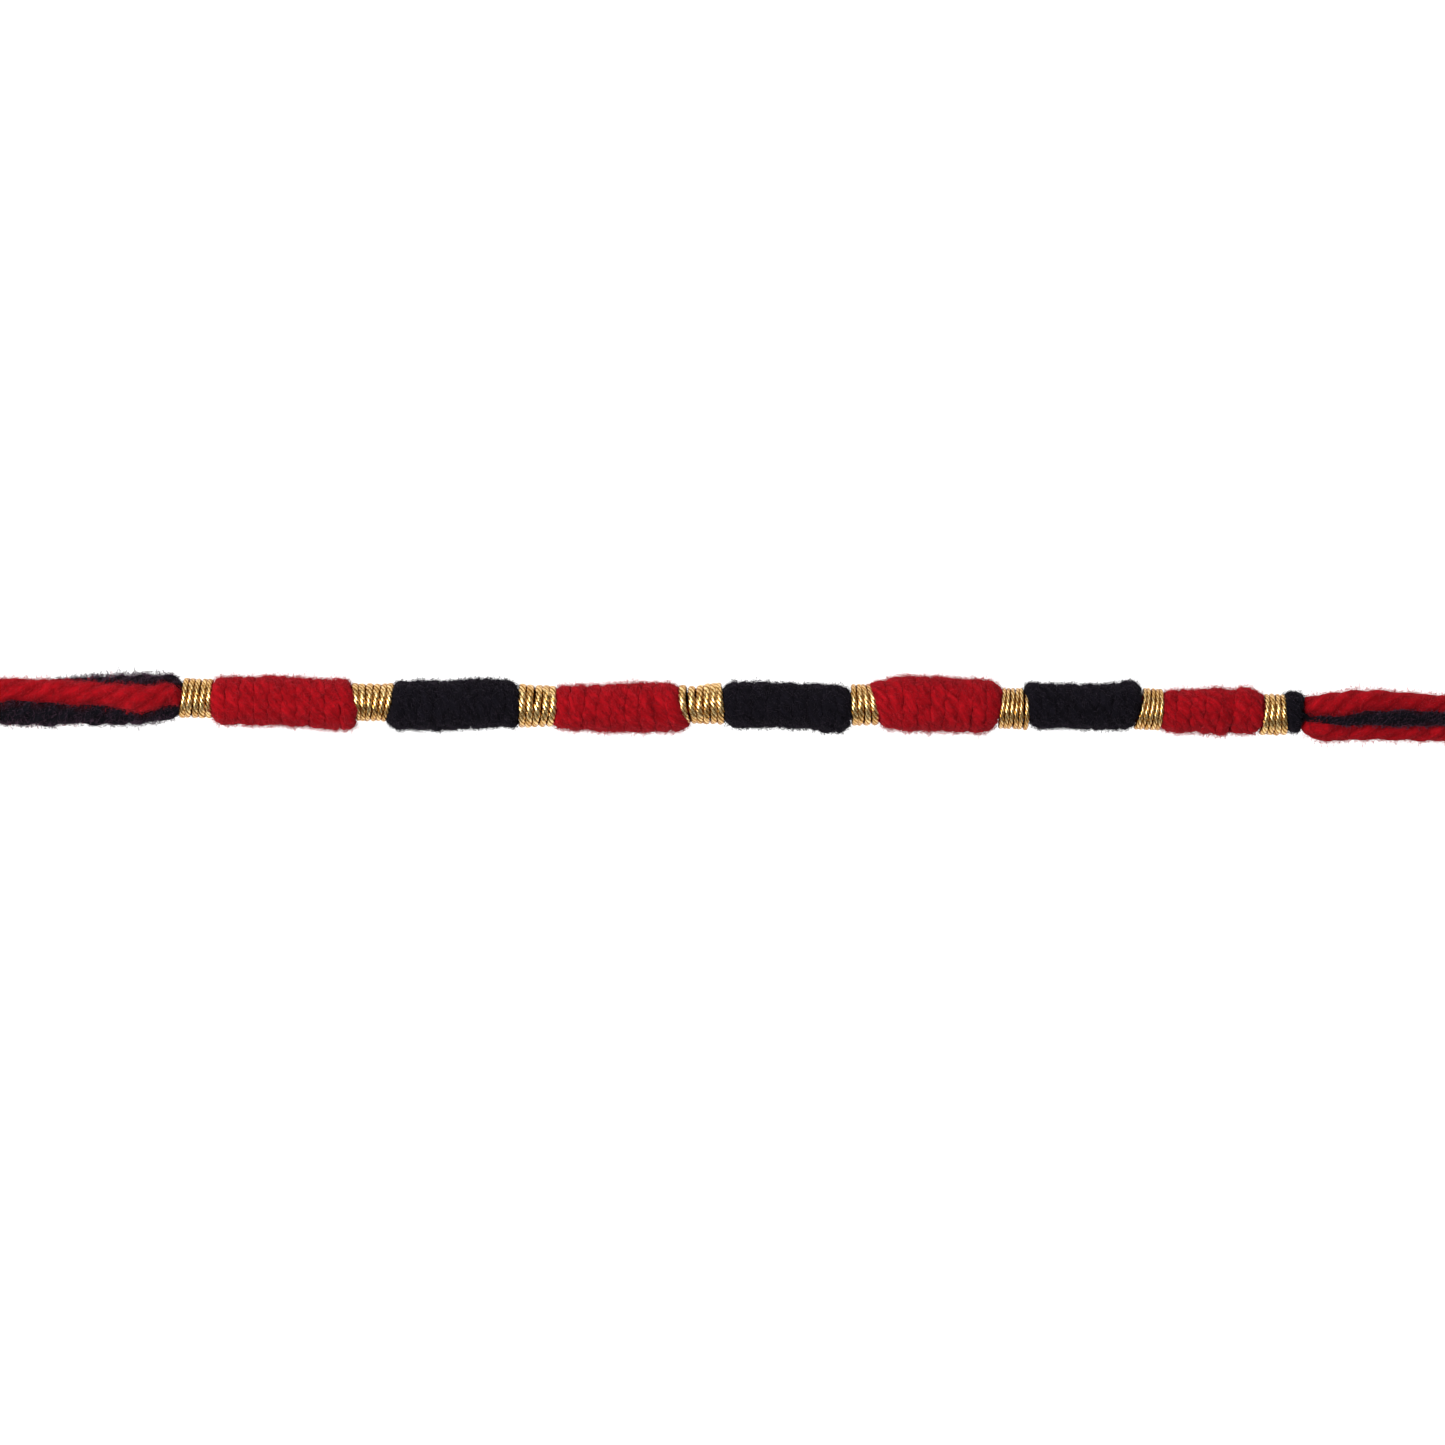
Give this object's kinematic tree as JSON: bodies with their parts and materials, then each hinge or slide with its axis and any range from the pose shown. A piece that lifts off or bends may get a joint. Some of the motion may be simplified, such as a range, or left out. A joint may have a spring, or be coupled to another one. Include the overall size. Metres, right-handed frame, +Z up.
{
  "type": "rakhi thread bracelet",
  "caption": "Straight wool thread bracelet of red and black wound barrels bound with gold thread, with loose tie ends to knot round a wrist.",
  "frame": {"origin": "under the middle of the strand, on the surface it lies on", "axes": "+X along the strand towards the end with the black whipping, +Y across it, +Z up off the surface"},
  "size_m": [0.1542, 0.0065, 0.0051],
  "materials": {
    "red_wool": "soft, slightly fuzzy plied wool, deep red",
    "black_wool": "soft, slightly fuzzy plied wool, off-black",
    "gold_thread": "bright metallic strip thread, twisted and closely wound"
  },
  "bodies": {
    "root": {"red_yarn_1": "red_wool", "red_yarn_2": "red_wool", "black_yarn_1": "black_wool", "black_yarn_2": "black_wool", "red_wrap_1": "red_wool", "red_wrap_2": "red_wool", "red_wrap_3": "red_wool", "red_wrap_4": "red_wool", "black_wrap_1": "black_wool", "black_wrap_2": "black_wool", "black_wrap_3": "black_wool", "end_whipping": "black_wool", "gold_wrap_1": "gold_thread", "gold_wrap_2": "gold_thread", "gold_wrap_3": "gold_thread", "gold_wrap_4": "gold_thread", "gold_wrap_5": "gold_thread", "gold_wrap_6": "gold_thread", "gold_wrap_7": "gold_thread", "gold_wrap_8": "gold_thread"}
  },
  "joints": []
}
